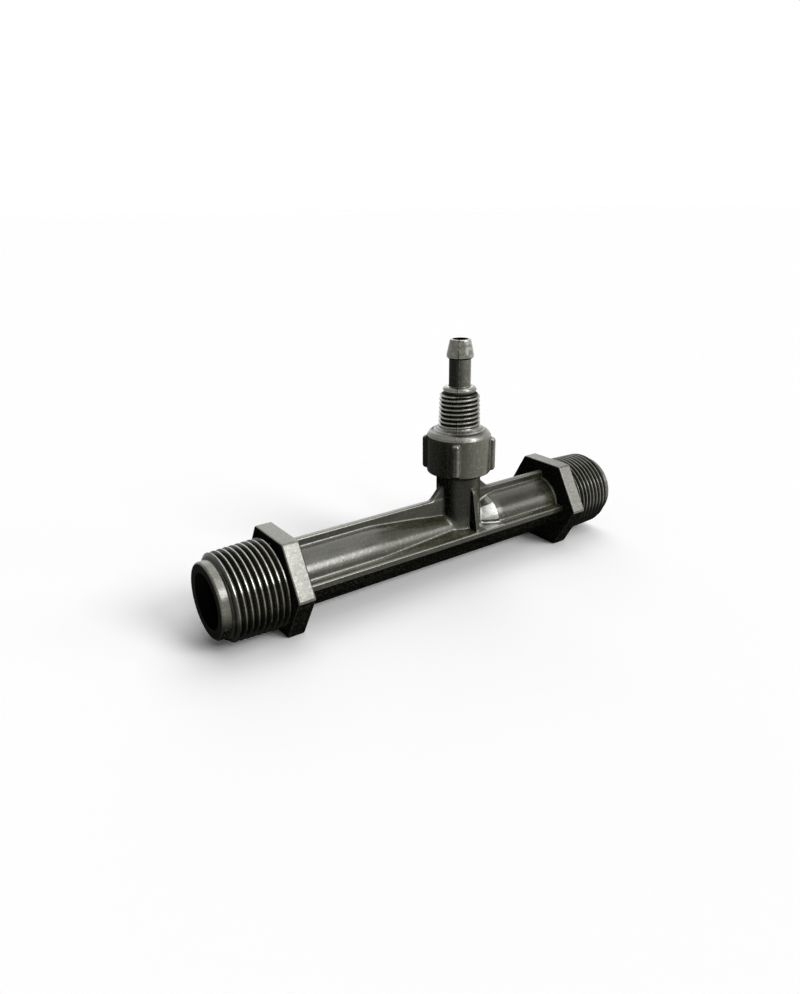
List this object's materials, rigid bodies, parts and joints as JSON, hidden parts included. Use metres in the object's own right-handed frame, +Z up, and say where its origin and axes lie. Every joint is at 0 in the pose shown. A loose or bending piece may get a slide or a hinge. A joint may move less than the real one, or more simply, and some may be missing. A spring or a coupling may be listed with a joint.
{
  "type": "venturi injector",
  "caption": "Moulded venturi injector: threaded hexagonal ends, ribbed tapering barrel, and an upright suction boss with a screwed barbed cap over a ball check valve.",
  "frame": {"origin": "under the middle of the body's length, on the plane of the hexagons' lower flats", "axes": "+X along the flow passage towards the inlet end, +Z up along the suction boss and its barb, Y across"},
  "size_m": [0.1528, 0.0338, 0.0768],
  "materials": {
    "body_plastic": "semi-gloss moulded black",
    "cap_plastic": "semi-gloss moulded black",
    "seal_rubber": "smooth",
    "ball_plastic": "polished",
    "spring_steel": "drawn wire"
  },
  "bodies": {
    "body": {"injector_body": "body_plastic", "check_spring": "spring_steel"},
    "ring": {"seat_o_ring": "seal_rubber"},
    "cap": {"suction_cap": "cap_plastic"},
    "ball": {"check_ball": "ball_plastic"}
  },
  "joints": [
    {"name": "cap_lift", "type": "slide", "parent": "body", "child": "ring", "axis": [0, 0, 1], "range_m": [0, 0.01]},
    {"name": "cap_turn", "type": "hinge", "parent": "ring", "child": "cap", "pos_m": [0.01275, 0, 0.0344], "axis": [0, 0, 1], "range_deg": [0, 1800]},
    {"name": "ball_lift", "type": "slide", "parent": "body", "child": "ball", "axis": [0, 0, 1], "range_m": [-0.003, 0], "stiffness_N_per_m": 40, "springref_m": 0.004, "deforming": ["check_spring"]}
  ],
  "couplings": [
    {"joint": "cap_lift", "follows": "cap_turn", "m_per_rad": 0.00031831}
  ]
}
